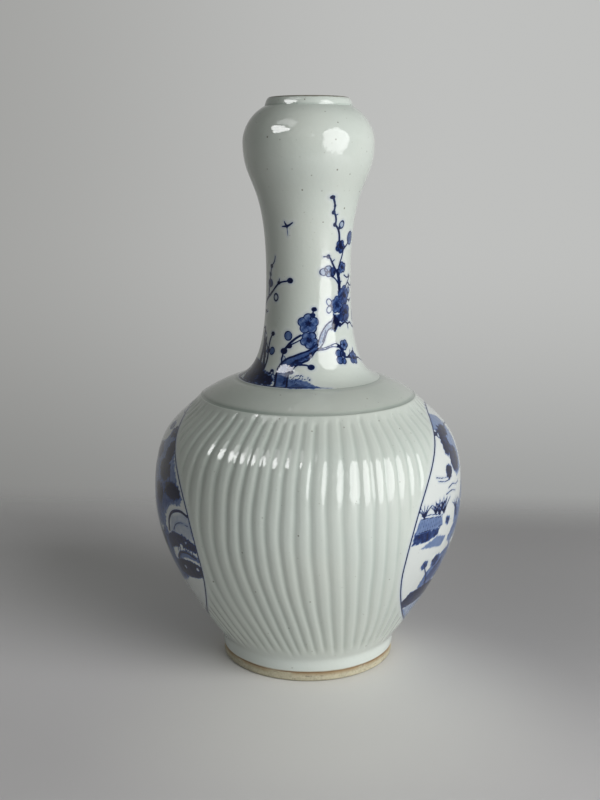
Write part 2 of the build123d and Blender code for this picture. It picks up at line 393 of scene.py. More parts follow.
def ragged(x, y, scale=1.0):
    # an uneven edge, about one millimetre long
    x, y = x / scale, y / scale
    return (np.sin(2.3 * x + 1.7 * np.sin(1.1 * y)) + np.sin(3.1 * y + 2.0 * np.sin(1.7 * x) + 1.3)
            + 0.6 * np.sin(6.7 * x + 5.1 * y)) / 2.6


class Brush:
    def __init__(self, pieces, shift=0.0):
        self.pieces, self.shift = pieces, shift
        co = np.vstack([pointsOf(p) for p in pieces])
        r, height = np.hypot(co[:, 0], co[:, 1]), co[:, 2]
        self.outer = np.where(r > radiusAt(outside, height) - 1.5)[0]
        self.total = len(co)
        self.height = height[self.outer]
        self.turn = turnOf(co)[self.outer]
        self.girth = radiusAt(outside, self.height)
        self.along = np.interp(self.height, outside[:, 1], outsideLengths)
        self.ink = np.full(len(self.outer), 9.0)
        self.wash = np.zeros(len(self.outer))
        self.ground = np.zeros(len(self.outer))

    def near(self, points, reach):
        turns, heights = np.array(points, float).T
        turns = turns + self.shift
        alongs = np.interp(heights, outside[:, 1], outsideLengths)
        middle, half = (turns.max() + turns.min()) / 2, (turns.max() - turns.min()) / 2
        chosen = np.where((np.abs(around(self.turn, middle)) < half + np.degrees(reach / self.girth))
                          & (self.along > alongs.min() - reach) & (self.along < alongs.max() + reach))[0]
        return chosen, turns, alongs

    def offsets(self, turn, height, reach):
        chosen, turns, alongs = self.near([(turn, height)], reach)
        x = np.radians(around(self.turn[chosen], turns[0])) * self.girth[chosen]
        return chosen, x, self.along[chosen] - alongs[0]

    def stain(self, chosen, ink=None, wash=None):
        if ink is not None:
            self.ink[chosen] = np.minimum(self.ink[chosen], ink)
        if wash is not None:
            self.wash[chosen] = np.maximum(self.wash[chosen], wash)

    def line(self, width, *points, end=None):
        path = softened(points)
        widths = np.linspace(width, width if end is None else end, len(path))
        chosen, turns, alongs = self.near(path, 2.5 + width)
        turn, along, girth = self.turn[chosen], self.along[chosen], self.girth[chosen]
        nearest = np.full(len(chosen), 9.0)
        for i in range(len(path) - 1):
            x = np.radians(around(turn, turns[i])) * girth
            y = along - alongs[i]
            dx = math.radians(turns[i + 1] - turns[i]) * girth
            dy = alongs[i + 1] - alongs[i]
            share = np.clip((x * dx + y * dy) / (dx ** 2 + dy ** 2 + 1e-9), 0, 1)
            away = np.hypot(x - share * dx, y - share * dy)
            nearest = np.minimum(nearest, away - (widths[i] + (widths[i + 1] - widths[i]) * share) / 2)
        self.stain(chosen, ink=nearest)

    def dot(self, turn, height, radius, wide=1.0):
        chosen, x, y = self.offsets(turn, height, radius * max(wide, 1) + 2.5)
        self.stain(chosen, ink=(np.hypot(x / wide, y) - radius))

    def oval(self, turn, height, rx, ry, tilt=0, fill=0.3, outline=0.42):
        chosen, x, y = self.offsets(turn, height, max(rx, ry) + 2.5)
        a = math.radians(tilt)
        u, v = x * math.cos(a) + y * math.sin(a), y * math.cos(a) - x * math.sin(a)
        edge = (np.hypot(u / rx, v / ry) - 1) * min(rx, ry)
        self.stain(chosen, ink=np.abs(edge) - outline / 2, wash=fill * softStep(0.2 - edge, 0.5))

    def blossom(self, turn, height, radius, first=90, petals=5, fill=0.46, wide=1.0, heart=0.30, outline=0.4):
        chosen, x, y = self.offsets(turn, height, radius * max(wide, 1) + 2.5)
        x = x / wide
        away, bearing = np.hypot(x, y), np.arctan2(y, x)
        turns = np.radians(first + np.arange(petals) * 360 / petals)
        gaps = np.sort([np.hypot(x - 0.56 * radius * math.cos(a), y - 0.56 * radius * math.sin(a))
                        - 0.43 * radius for a in turns], axis=0)
        edge, seam = gaps[0], (gaps[1] - gaps[0]) / 2
        seam = np.where((edge < 0) & (away > radius * heart), seam, 9)
        star = away - radius * heart * (0.75 + 0.6 * np.cos(petals * (bearing - turns[0])))
        ink = np.minimum(np.minimum(np.abs(edge) - outline / 2, seam - 0.13), star)
        depth = fill * (0.8 + 0.35 * ragged(x, y, 1.2)) + 0.3 * np.exp(-(away / (0.5 * radius)) ** 2)
        self.stain(chosen, ink=ink, wash=depth * softStep(0.15 - edge, 0.4))

    def area(self, tone, *points, rag=0.4, soft=0.5):
        chosen, turns, alongs = self.near(points, 2.5)
        girth = self.girth[chosen].mean() if len(chosen) else 1
        middle = (turns.max() + turns.min()) / 2
        x, y = np.radians(around(self.turn[chosen], middle)) * girth, self.along[chosen]
        px, py = np.radians(turns - middle) * girth, alongs
        away, within = np.full(len(chosen), 9.0), np.zeros(len(chosen), bool)
        for ax, ay, bx, by in zip(px, py, np.roll(px, -1), np.roll(py, -1)):
            dx, dy = bx - ax, by - ay
            share = np.clip(((x - ax) * dx + (y - ay) * dy) / (dx * dx + dy * dy + 1e-9), 0, 1)
            away = np.minimum(away, np.hypot(x - ax - share * dx, y - ay - share * dy))
            crosses = ((ay > y) != (by > y)) & (x < ax + (y - ay) * dx / (dy if dy else 1e-9))
            within ^= crosses
        edge = np.where(within, -away, away) + rag * ragged(x, y)
        self.stain(chosen, wash=tone * softStep(soft / 2 - edge, soft))

    def leaves(self, turn, height, spreadX, spreadY, count, size, tone=0.5):
        # a mass of foliage: a wash with dark dabs scattered over it
        chosen, x, y = self.offsets(turn, height, max(spreadX, spreadY) + 2.5)
        edge = (np.hypot(x / spreadX, y / spreadY) - 1) * min(spreadX, spreadY) + 0.7 * ragged(x, y, 1.3)
        self.stain(chosen, wash=tone * softStep(0.3 - edge, 0.7))
        degree = math.degrees(1 / radiusAt(outside, height))
        for _ in range(count):
            a, d = rng.uniform(0, 2 * math.pi), math.sqrt(rng.uniform(0, 1)) * 0.95
            self.dot(turn + spreadX * d * math.cos(a) * degree, height + spreadY * d * math.sin(a) * 0.9,
                     size * rng.uniform(0.6, 1.2), rng.uniform(0.8, 1.5))

    def tuft(self, turn, height, size, blades=5):
        for i in range(blades):
            side = (i - (blades - 1) / 2) / blades
            self.line(0.7, (turn, height), (turn + side * size, height + size * 0.55),
                      (turn + side * size * 1.9, height + size * (1.05 - abs(side) * 0.5)), end=0.25)

    def waves(self, turn, height, length, rows=2, width=0.35):
        for i in range(rows):
            start, z = turn + i * length * 0.22, height - i * 1.5
            self.line(width, (start, z), (start + length * 0.3, z + 0.5), (start + length * 0.6, z - 0.1),
                      (start + length * 0.9, z + 0.35), end=0.15)

    def hill(self, turn, height, width, rise, tone=0.2, outline=0.5):
        rim = [(turn - width / 2, height), (turn - width * 0.36, height + rise * 0.55),
               (turn - width * 0.12, height + rise), (turn + width * 0.14, height + rise * 0.9),
               (turn + width * 0.36, height + rise * 0.5), (turn + width / 2, height)]
        self.line(outline, *rim, end=0.3)
        self.area(tone, *rim, rag=0.3, soft=1.2)
        top = [(t + (turn - t) * 0.12, height + (z - height) * 0.86) for t, z in rim[1:5]]
        self.area(tone + 0.16, *(rim[1:5] + top[::-1]), rag=0.5, soft=1.0)

    def lay(self):
        ground = np.maximum(self.ground, 0.5 * np.clip(1 - self.ink / 2.4, 0, 1))
        for name, values, bare in (("ink", self.ink, 9.0), ("wash", self.wash, 0.0), ("ground", ground, 0.0)):
            spread = np.full(self.total, bare)
            spread[self.outer] = values
            start = 0
            for piece in self.pieces:
                count = len(piece.data.vertices)
                putAttribute(piece, name, spread[start:start + count])
                start += count


# Neck: a plum branch in blossom over a mossy bank, and an insect

b = Brush([neck, head], shift=3.4)

b.dot(26.4, 217, 0.85, 1.5)
for width, end, points in (
        (0.95, 0.8, [(27.5, 216.6), (30, 214.5), (31, 212.5), (30.3, 210.6)]),
        (0.95, 0.8, [(30.5, 210.2), (33, 209.2), (34.6, 207.4), (34.8, 206), (33.2, 205.2)]),
        (0.35, 0.3, [(34, 209.2), (36.6, 209.5)]),
        (0.8, 1.1, [(33.5, 205), (37, 204), (40, 202.5), (42, 200.5), (43, 197.5)]),
        (0.4, 0.4, [(41, 202.8), (42.5, 204.2)]),
        (0.8, 0.6, [(52, 194), (58, 195.5), (62, 196.5)]),
        (0.55, 0.7, [(51.5, 193.3), (49, 190.6), (46, 188.3), (43.5, 185.4)]),
        (0.55, 0.85, [(20, 191.1), (26, 191), (29.5, 190.2), (31.5, 188.8), (36, 186.2), (41.5, 183.8)]),
        (0.4, 0.35, [(32, 188.7), (36, 189.6)]),
        (1.5, 1.7, [(41, 184.6), (43, 182.4), (44.6, 180), (45.2, 176.5)]),
        (0.6, 0.3, [(45, 179.2), (49.5, 179.8)]),
        (0.45, 0.6, [(31.5, 182.2), (36, 181.5), (40, 180.2), (44, 178.2)]),
        (0.5, 0.6, [(55, 182.4), (62, 181.2), (70, 181.2)]),
        (0.6, 0.6, [(57, 176.6), (63, 178.6), (72, 181.6)]),
        (0.6, 0.4, [(64, 179), (70, 177.8), (77, 177)])):
    b.line(width, *points, end=end)
for turn, height, radius in ((30.2, 210.4, 0.95), (33.6, 205, 0.9), (26.3, 191.1, 0.95), (45.2, 179, 0.95),
                             (43.8, 183, 0.8), (68, 182, 0.6), (31, 213.2, 0.65)):
    b.dot(turn, height, radius)
b.oval(44.6, 204.9, 1.35, 1.65, -25, 0.14)
b.blossom(45.6, 195.2, 2.9, 60, fill=0.78, heart=0.4)
b.oval(67, 198.7, 2.6, 2.9, 20, 0.42)
for i in range(4):
    b.line(0.4, (60.5 + i * 3.4, 196.6 + i * 0.3), (63 + i * 3.2, 199.2), (64.5 + i * 3, 201), end=0.25)
b.blossom(50.3, 185.9, 2.5, 100, fill=0.5, heart=0.4)
b.oval(20.4, 184.4, 1.9, 1.55, 0, 0.16)
b.oval(26.3, 185.6, 1.7, 1.35, 10, 0.2)
b.oval(27.5, 183.4, 1.6, 1.2, -10, 0.26)
b.oval(33.2, 184.2, 1.55, 1.75, 0, 0.62)
b.dot(35.8, 184, 0.7)

b.blossom(54.5, 173.4, 4.3, 80, fill=0.6, heart=0.28)
b.blossom(56.5, 165.8, 4.0, 100, fill=0.62, heart=0.3)
b.blossom(40.2, 169.4, 3.9, 90, fill=0.52, wide=0.86, heart=0.34)
b.oval(47.5, 163.6, 1.7, 1.5, 10, 0.55)
b.oval(27.6, 170.9, 1.2, 1.5, 20, 0.05, 0.32)
b.oval(27.8, 167.6, 1.2, 1.6, -20, 0.05, 0.32)
b.oval(67.5, 175.2, 1.6, 1.4, 0, 0.3)
b.area(0.9, (30.5, 158.6), (31.2, 162.5), (34, 165.6), (38, 164.8), (43.5, 162.2), (40.5, 159.8), (35, 157.6))
b.area(0.62, (36, 163), (46, 166), (50, 169.5), (60, 170), (66, 165), (62, 161.5), (48, 161.5))
for i in range(6):
    b.line(0.5, (31 + i * 2.2, 158.8 + i * 0.4), (33.5 + i * 2, 162.2), (36.5 + i * 1.8, 165), end=0.25)
for width, end, points in (
        (0.9, 0.6, [(38, 161), (46, 160.4), (54, 161.3), (61, 160.4), (68, 160.6), (75, 158.6)]),
        (0.5, 0.3, [(60, 160.4), (61, 158.2)]),
        (0.6, 0.4, [(64, 171.2), (70, 170.4), (76, 171.5)]),
        (0.5, 0.3, [(66, 176.5), (70, 178.5)])):
    b.line(width, *points, end=end)
b.dot(44.2, 160.4, 0.95)
b.dot(68.5, 170.6, 0.7)

# the old trunk and its pale upper branch
for width, end, points in (
        (0.5, 0.7, [(10, 151.8), (13, 154.6), (16, 157.4), (22, 160.4), (27, 161.8), (31, 162.4)]),
        (0.45, 0.6, [(12.5, 150.6), (18, 153), (21.5, 156), (25, 158.5), (31.5, 159.6)]),
        (0.35, 0.25, [(17, 153.6), (19.5, 156), (22, 158.6)])):
    b.line(width, *points, end=end)
b.area(0.16, (11, 151.4), (16, 157), (22, 160.2), (31, 162), (31, 159.8), (24, 158), (18, 153.2))
b.area(0.34, (12, 151.6), (15, 155.6), (19, 158.4), (18.5, 156.6), (15, 153.4))
trunkTop = [(-28.5, 135), (-32, 138), (-33.3, 141), (-30.6, 143.8), (-24.5, 146), (-17, 147.2), (-9, 148.5), (-1, 149.6),
            (4, 150.8), (9, 152.6)]
trunkFoot = [(-18, 135), (-20, 137.5), (-19.5, 140.2), (-15, 142.8), (-7, 144.6), (-1, 145.6), (3, 147.2), (7, 149.2),
             (12, 150.8)]
b.line(1.0, *trunkTop, end=0.75)
b.line(0.95, *trunkFoot, end=0.65)
b.area(0.46, *(trunkTop + trunkFoot[::-1]), rag=0.2)
b.area(0.72, (-20, 135.2), (-21.3, 138.5), (-19.5, 142), (-13, 144.6), (-3, 146.3), (4, 148.2), (8, 150.4),
       (4, 149.4), (-3, 147.6), (-13, 146.2), (-21, 144), (-24.2, 140.5), (-23, 135.2))
for i in range(16):
    t = i / 15
    top = softened(trunkTop)[int(3 + t * 26)]
    foot2 = softened(trunkFoot)[int(2 + t * 24)]
    b.line(0.4, tuple(foot2 * 0.96 + top * 0.04), tuple(foot2 * 0.55 + top * 0.45 + (1.2, -0.3)),
           tuple(foot2 * 0.3 + top * 0.7), end=0.15)
for width, end, points in (
        (0.42, 0.42, [(10, 150.6), (20, 150.9), (28, 151.8), (35, 152.3), (40, 151.2)]),
        (0.38, 0.4, [(11, 149.8), (20, 150.1), (29, 151.1), (38, 150.6)]),
        (1.2, 1.4, [(38, 151.3), (42, 150), (44, 148)]),
        (0.9, 0.7, [(44, 146.4), (48, 145.8), (53, 145.8), (56, 145.2)]),
        (0.7, 0.4, [(66, 144.8), (75, 144), (82, 142.6), (90, 141.6)]),
        (0.5, 0.3, [(55, 146.5), (57, 148.6)]),
        (0.6, 0.4, [(62, 147), (65, 149)]),
        (0.85, 0.6, [(-13, 145), (-9, 143.8), (-3, 143.6), (1, 143)]),
        (1.1, 0.9, [(-30.5, 149.2), (-26.5, 151.2), (-23, 152.8), (-16, 155), (-10, 156.4)]),
        (0.5, 0.4, [(-23, 151.8), (-17, 153), (-10, 154.4)]),
        (0.7, 0.5, [(-30.6, 149), (-31, 146.5), (-31, 144)]),
        (0.7, 0.6, [(2, 163.8), (5, 166), (7, 168)]),
        (0.5, 0.4, [(7, 168), (10.5, 167.6)])):
    b.line(width, *points, end=end)
for turn, height, radius in ((2.6, 142.7, 1.25), (-18, 140.4, 0.95), (-30, 149.2, 1.35), (-23.5, 151.5, 1.0),
                             (5.2, 165.4, 0.95), (7, 168, 0.95), (-9.5, 144, 0.8), (44.5, 147.2, 1.0),
                             (53, 145.9, 0.8), (-13.5, 145.2, 0.8)):
    b.dot(turn, height, radius, 1.25)
b.oval(-26, 156, 1.75, 1.95, 15, 0.42)
b.oval(-29.6, 145.8, 1.1, 1.3, 0, 0.1, 0.2)
b.blossom(47.5, 151.3, 2.3, 60, fill=0.42, wide=1.15, heart=0.3)
for turn, height, rx, ry in ((36.8, 148, 1.5, 1.5), (37.5, 145, 1.8, 1.7), (42.6, 144.3, 1.3, 1.2),
                             (42, 147.6, 1.2, 1.0)):
    b.oval(turn, height, rx, ry, 0, 0.45)
b.blossom(61, 145, 3.1, 75, fill=0.5, wide=1.1, heart=0.28)
b.blossom(-0.5, 161.6, 4.5, 90, fill=0.48, wide=1.06, heart=0.27)
b.blossom(0.5, 154.4, 3.7, 270, fill=0.5, wide=1.08, heart=0.29)
b.oval(8.5, 152.4, 1.2, 1.1, 0, 0.4)

# rock, shrubs and bank at the left foot
b.area(0.84, (-84, 143.5), (-74, 143.6), (-67, 143.4), (-60, 142.6), (-54, 140.4), (-46, 138.8), (-38, 138.4),
       (-33, 137.4), (-33, 135), (-70, 135), (-80, 136.6))
for i in range(9):
    b.line(0.4, (-62 + i * 3.4, 141.4 - i * 0.35), (-55 + i * 2.8, 138.8), (-46 + i * 2, 136.4), end=0.2)
for width, end, points in (
        (2.4, 1.2, [(-64, 141.5), (-67, 147), (-69, 152), (-73, 158)]),
        (1.8, 1.0, [(-55, 141), (-60, 146), (-66, 151.5), (-72, 155.5)]),
        (1.3, 0.9, [(-58, 145.5), (-62, 149), (-64, 153.8)]),
        (1.0, 0.7, [(-52, 140.5), (-52.6, 145), (-55, 150.5), (-54, 153.5), (-51.5, 155.8)]),
        (0.8, 0.5, [(-57, 142), (-64, 148.5), (-71, 153)]),
        (0.7, 0.5, [(-53, 148.4), (-57, 149.6), (-61, 151.5)]),
        (0.9, 0.5, [(-42, 139), (-39, 140.6), (-37, 139.4)]),
        (0.5, 0.3, [(-79, 165.8), (-73, 165.2), (-67, 165.7)]),
        (0.9, 0.4, [(-82, 157), (-75, 158), (-66, 155.4)]),
        (1.3, 0.9, [(-80, 168.5), (-73, 170.8), (-68, 172), (-62, 173.4), (-56, 175)]),
        (0.8, 0.55, [(-56, 175), (-50, 177), (-43, 179), (-36, 179.8), (-28, 180.3)]),
        (0.5, 0.3, [(-43, 179.4), (-42.2, 181)]),
        (0.8, 0.55, [(-67, 173), (-64, 178), (-61.5, 182), (-59.5, 185), (-58, 186.6)]),
        (0.5, 0.3, [(-58, 186.6), (-54.5, 187.4), (-51, 189), (-49.5, 191)]),
        (0.45, 0.3, [(-61.5, 182), (-64, 183.5)])):
    b.line(width, *points, end=end)
for turn, height, radius in ((-50.3, 156.2, 0.95), (-25.2, 180.5, 1.2), (-43.3, 179.2, 0.75),
                             (-61.6, 182.4, 0.75), (-58.4, 186.3, 0.9), (-74, 165.4, 0.8), (-40, 140.4, 0.7)):
    b.dot(turn, height, radius, 1.2)
b.oval(-47.6, 148.6, 1.5, 1.6, 0, 0.45)
b.oval(-55, 148.4, 1.1, 1.0, 0, 0.5)
b.oval(-48.6, 172.6, 1.35, 1.55, 0, 0.06, 0.55)
b.oval(-62, 178.6, 1.9, 1.7, 10, 0.7)

# insect
b.dot(-28, 204.4, 0.75, 0.9)
for width, end, points in (
        (1.05, 0.45, [(-28, 204.4), (-24.5, 204.9), (-19.8, 206)]),
        (0.95, 0.4, [(-28, 204.6), (-29.6, 205.4), (-30.8, 206.4)]),
        (0.9, 0.35, [(-28.4, 204.4), (-31.5, 204.3), (-34.6, 204.2)]),
        (0.3, 0.1, [(-27.8, 204), (-27.4, 202), (-27.2, 200.2)])):
    b.line(width, *points, end=end)

# moss and the ground line
b.area(0.42, (-22, 134.9), (-20, 137.6), (-10, 137.8), (-2, 137.2), (4, 135.8), (10, 134.9), (3, 134.6))
b.area(0.62, (-17, 134.6), (-14, 136), (-8, 136.2), (0, 135.6), (-6, 134.6))
for _ in range(64):
    turn = rng.uniform(-20, 3)
    b.dot(turn, 136 + rng.uniform(0, 1) * (3.6 - abs(turn + 9) * 0.12), rng.uniform(0.14, 0.27))
b.line(0.8, (-76, 134.9), (-50, 134.8), (-20, 134.8), (-2, 135), (8, 134.9), (18, 134.6), end=0.2)

# unseen back of the neck: the same bank runs on, with another blossoming shoot
b.line(0.8, (-76, 134.9), (-100, 135), (-130, 135.1), (-150, 134.8), end=0.25)
b.area(0.8, (-84, 143), (-92, 144.5), (-100, 142), (-112, 139), (-126, 136.6), (-140, 135), (-80, 135))
for width, end, points in (
        (2.0, 1.0, [(-96, 142), (-104, 149), (-103, 157), (-110, 165), (-118, 173)]),
        (1.0, 0.6, [(-104, 157), (-94, 163), (-88, 167), (-80, 168.5)]),
        (0.9, 0.5, [(-118, 173), (-122, 181), (-117, 188), (-122, 196)]),
        (0.7, 0.4, [(-112, 167), (-124, 168), (-134, 173), (-143, 172)]),
        (0.7, 0.4, [(90, 141.6), (100, 141), (112, 143), (124, 142)]),
        (0.7, 0.4, [(75, 158.6), (90, 157.5), (104, 160), (116, 158.6)]),
        (0.6, 0.35, [(77, 177), (92, 178.5), (104, 183), (112, 188)])):
    b.line(width, *points, end=end)
for turn, height, radius, first in ((-118, 171, 4.0, 80), (-128, 165, 3.2, 110), (-134, 175, 2.8, 60),
                                    (100, 159, 3.6, 95), (88, 163, 3.4, 70), (104, 143.5, 2.8, 100)):
    b.blossom(turn, height, radius, first)
for turn, height in ((-122, 196.5), (-143, 172.3), (116, 158.6), (112, 188.4), (124, 142), (-119, 183)):
    b.dot(turn, height, 1.0)
b.oval(-125, 189, 1.4, 1.6, 10, 0.3)
b.oval(108, 179.6, 1.5, 1.3, 0, 0.35)
b.lay()
print("neck painted")


# Side panels: a river landscape on each, inside an oval line

b = Brush([lowerBody, upperBody])
for side in panels["angles"]:
    oval = []
    for a in np.radians(np.arange(0, 361, 5)):
        reach = panels["top"] - panels["wide"] if math.sin(a) > 0 else panels["wide"] - panels["bottom"]
        oval.append((side + panels["half"] * math.cos(a), panels["wide"] + reach * math.sin(a)))
    for start in range(0, 72, 6):
        b.line(0.62, *oval[start:start + 7])
b.ground = 0.75 * softStep(0.3 - np.radians(offPanel(b.turn, b.height)) * b.girth, 0.6)

ovalInk, inOval = b.ink.copy(), offPanel(b.turn, b.height) < 0

# right panel, in angles from the middle of the panel
b.shift = panels["angles"][0]
for width, end, points in (
        (0.9, 0.6, [(-27, 112.8), (-21, 113.6), (-13, 112.6), (-4, 113.4), (6, 111.5)]),
        (0.6, 0.4, [(-24, 113.2), (-21.8, 110), (-22.6, 107.5)]),
        (0.35, 0.25, [(-44.5, 82.8), (-40, 82.4), (-36, 81.4), (-32, 80.3)]),
        (0.4, 0.3, [(-45, 81.6), (-40, 81), (-33, 79.6)]),
        (0.5, 0.4, [(-47.5, 75.8), (-42, 75.4), (-36, 75), (-32, 75.6)]),
        (0.4, 0.3, [(-35, 97.5), (-31, 96.2), (-28, 95.8)]),
        (0.4, 0.3, [(-34, 95.6), (-30, 94.4), (-26, 94.1)]),
        (0.45, 0.3, [(-27, 90.6), (-23, 91.4), (-19, 90.2), (-16, 90.8)]),
        (0.45, 0.3, [(-29, 88.4), (-24, 88.8), (-20, 87.4)]),
        (0.5, 0.4, [(-20, 78.5), (-17, 75.5), (-18, 71.5), (-24, 67.5)]),
        (0.8, 0.5, [(-30, 44.5), (-33, 50), (-36.5, 55), (-38, 57.5)]),
        (0.7, 0.4, [(-26, 46), (-26.5, 52), (-23, 57), (-20, 62)])):
    b.line(width, *points, end=end)
b.dot(-23, 113.4, 1.0)
b.area(0.3, (-24, 118.4), (-12, 119.8), (-4, 117), (-6, 106), (-9, 95), (-17, 93), (-21, 99), (-17.5, 107),
       (-21, 113), rag=0.8)
b.area(0.34, (-21, 79), (-15, 82), (-10, 78), (-12, 68), (-20, 62), (-25, 66), (-21, 72), rag=0.7)
b.area(0.30, (-47.3, 76), (-45.4, 81.4), (-38, 80.8), (-32, 79.2), (-31.5, 75.4), (-40, 75.2), rag=0.2)
for i in range(11):
    b.line(0.3, (-46.5 + i * 1.35, 76.2), (-46 + i * 1.35, 78.5), (-45.4 + i * 1.3, 80.8 - i * 0.08), end=0.15)
b.area(0.72, (-48.3, 70.5), (-47.6, 75.4), (-40, 75), (-33, 74.6), (-34.5, 71.5), (-41, 70.2))
b.area(0.34, (-44, 67.5), (-34, 71), (-27, 68.5), (-30, 64.5), (-36, 66))
b.blossom(-38, 57.6, 2.4, 40, fill=0.55, heart=0.2)
b.area(0.42, (-36.5, 45), (-34.5, 52.5), (-28, 59.5), (-18, 62), (-14, 54), (-20, 46), (-28, 42.5))
b.area(0.62, (-33, 46), (-31, 52), (-24, 56.5), (-21, 52), (-27, 47))
b.area(0.86, (-44.6, 38), (-40, 43.8), (-34, 44.5), (-26, 45.2), (-16, 43), (-8, 42), (-8, 36.5), (-20, 36),
       (-34, 35), (-42, 34.5))
b.area(0.22, (-41.5, 33.8), (-30, 35), (-14, 35.6), (-4, 33), (-10, 25), (-22, 22.5), (-32, 26), (-38, 29), soft=1.5)
for turn, height, sx, sy, count, size, tone in (
        (-15, 113, 7, 3.0, 26, 0.62, 0.8), (-21.8, 106.2, 2.8, 2.6, 12, 0.6, 0.85),
        (-25, 97.4, 3.2, 3.2, 18, 0.7, 0.85), (-16, 101, 6.5, 6.5, 46, 0.66, 0.78),
        (-19.5, 109, 4.5, 4.5, 26, 0.62, 0.78),
        (-31, 84.6, 2.0, 1.4, 5, 0.4, 0.3), (-27.5, 76, 2.2, 2.2, 8, 0.55, 0.5),
        (-19, 77.2, 2.4, 2.6, 10, 0.55, 0.5), (-30, 57.5, 3.6, 3.2, 14, 0.6, 0.6),
        (-19, 47.5, 3.2, 2.8, 12, 0.6, 0.65)):
    b.leaves(turn, height, sx, sy, count, size, tone)
for turn, height, size in ((-43, 82, 5), (-34, 81, 6.5), (-31, 80.6, 7), (-36.5, 82, 4.5), (-20, 79, 5)):
    b.tuft(turn, height, size)
b.hill(8, 84, 34, 22, 0.16)
b.hill(24, 80, 26, 16, 0.2)
b.hill(-4, 80, 20, 11, 0.24)
b.area(0.5, (2, 45), (10, 52), (20, 55), (32, 50), (38, 42), (30, 34), (14, 33))
b.area(0.78, (8, 42), (16, 48), (26, 48), (33, 42), (24, 36), (12, 36))
for turn, height, sx, sy, count, size, tone in (
        (14, 60, 6, 4, 24, 0.65, 0.55), (27, 58, 4.5, 3.5, 18, 0.65, 0.6), (36, 66, 4, 6, 20, 0.6, 0.55),
        (34, 80, 4, 4, 16, 0.6, 0.5), (-6, 52, 3.5, 3, 12, 0.6, 0.55)):
    b.leaves(turn, height, sx, sy, count, size, tone)
b.line(1.2, (30, 50), (33, 58), (32, 66), (35, 76), (34, 84), end=0.6)
b.line(0.6, (33, 70), (28, 74), (24, 73), end=0.3)
for turn, height, length in ((-8, 73, 16), (4, 66, 14), (16, 71, 16), (-12, 30, 14), (8, 27, 14), (-2, 97, 12),
                             (14, 108, 12)):
    b.waves(turn, height, length)
print("right panel painted")

# left panel
b.shift = panels["angles"][1]
for width, end, points in (
        (0.4, 0.3, [(34, 112.5), (28, 115), (20, 117)]),
        (0.4, 0.3, [(26, 117), (17, 118.6), (8, 119)]),
        (1.5, 1.0, [(33, 71), (33.8, 76), (36.2, 80), (39.5, 82), (43, 82.6), (46.5, 81.4)]),
        (0.5, 0.3, [(37, 72.5), (39, 75.6), (42.4, 77.4), (46.6, 77)]),
        (1.3, 0.9, [(35, 58), (38, 61.6), (43, 63.2), (48.4, 62)]),
        (0.6, 0.4, [(24, 44.5), (32, 48), (39, 51), (45, 52)]),
        (0.8, 0.4, [(30, 88), (34, 94), (31, 101), (34, 108)])):
    b.line(width, *points, end=end)
b.area(0.14, (34, 71), (36, 78.5), (43, 81.6), (49, 80.6), (49.3, 71), rag=0.2, soft=1.4)
b.area(0.4, (11, 76), (12, 92), (16, 106), (24, 114), (29, 112), (34, 104), (39.5, 94.5), (43.5, 88),
       (42, 85.2), (35, 83.6), (31, 78), (30, 71), (20, 70), rag=0.8)
b.area(0.55, (18, 78), (22, 90), (28, 96), (37, 94), (42, 88), (36, 84.5), (30, 80), (24, 73), rag=0.8)
b.area(0.5, (14, 50), (20, 60), (26, 70), (31, 72), (32, 62), (32, 50), (24, 46), rag=0.8)
b.area(0.78, (30, 61), (30.5, 68), (36, 71.4), (43, 71.6), (49.6, 69), (50, 65), (43, 65.6), (37, 64.4))
b.area(0.4, (34, 58), (38, 63), (44, 64.6), (50, 63), (50, 60.4), (43, 60.8), (38, 59))
b.area(0.86, (32, 50), (31, 56), (37, 58.4), (44, 59.4), (49.8, 58.4), (49.4, 52.8), (42, 50.2), (37, 49.6))
b.area(0.4, (24, 45), (32, 50.5), (40, 51), (34, 46.5), (28, 43.8))
for turn, height, sx, sy, count, size, tone in (
        (29, 105.5, 4.4, 5.4, 34, 0.66, 0.88), (28, 97.5, 7.0, 5.0, 44, 0.66, 0.86),
        (36, 90, 7.6, 3.8, 44, 0.7, 0.9), (24, 86, 6, 5, 30, 0.68, 0.85), (22, 62, 5, 6, 26, 0.7, 0.8),
        (16, 103, 6, 4, 22, 0.6, 0.7), (12, 92, 5, 4, 18, 0.6, 0.7),
        (23.5, 112.5, 4.5, 2.6, 16, 0.7, 0.55), (14, 113.5, 4, 2.2, 12, 0.6, 0.4)):
    b.leaves(turn, height, sx, sy, count, size, tone)
for i in range(10):
    b.line(0.45, (32 + i * 1.6, 62.5 + (i % 3)), (35 + i * 1.4, 66.5 + (i % 2)), (38 + i * 1.1, 70), end=0.25)
for i in range(8):
    b.line(0.5, (33 + i * 1.8, 51.5), (36 + i * 1.5, 54.5), (38 + i * 1.2, 58.4), end=0.25)
for turn, height, radius in ((40.4, 65.6, 1.5), (38.4, 54.6, 1.1), (47.2, 56.2, 1.2), (44, 68.5, 0.8)):
    chosen, x, y = b.offsets(turn, height, radius + 1)
    clear = softStep(radius - np.hypot(x, y), 0.4)
    b.wash[chosen] *= 1 - clear
    b.ink[chosen] = np.where(np.hypot(x, y) < radius, np.maximum(b.ink[chosen], radius - np.hypot(x, y) - 0.1),
                             b.ink[chosen])
b.hill(-6, 82, 34, 24, 0.16)
b.hill(-24, 78, 26, 17, 0.2)
b.hill(8, 76, 18, 11, 0.22)
b.area(0.5, (-36, 44), (-28, 53), (-14, 56), (-2, 51), (4, 42), (-8, 34), (-26, 34))
b.area(0.78, (-30, 42), (-20, 49), (-10, 49), (-4, 42), (-14, 37))
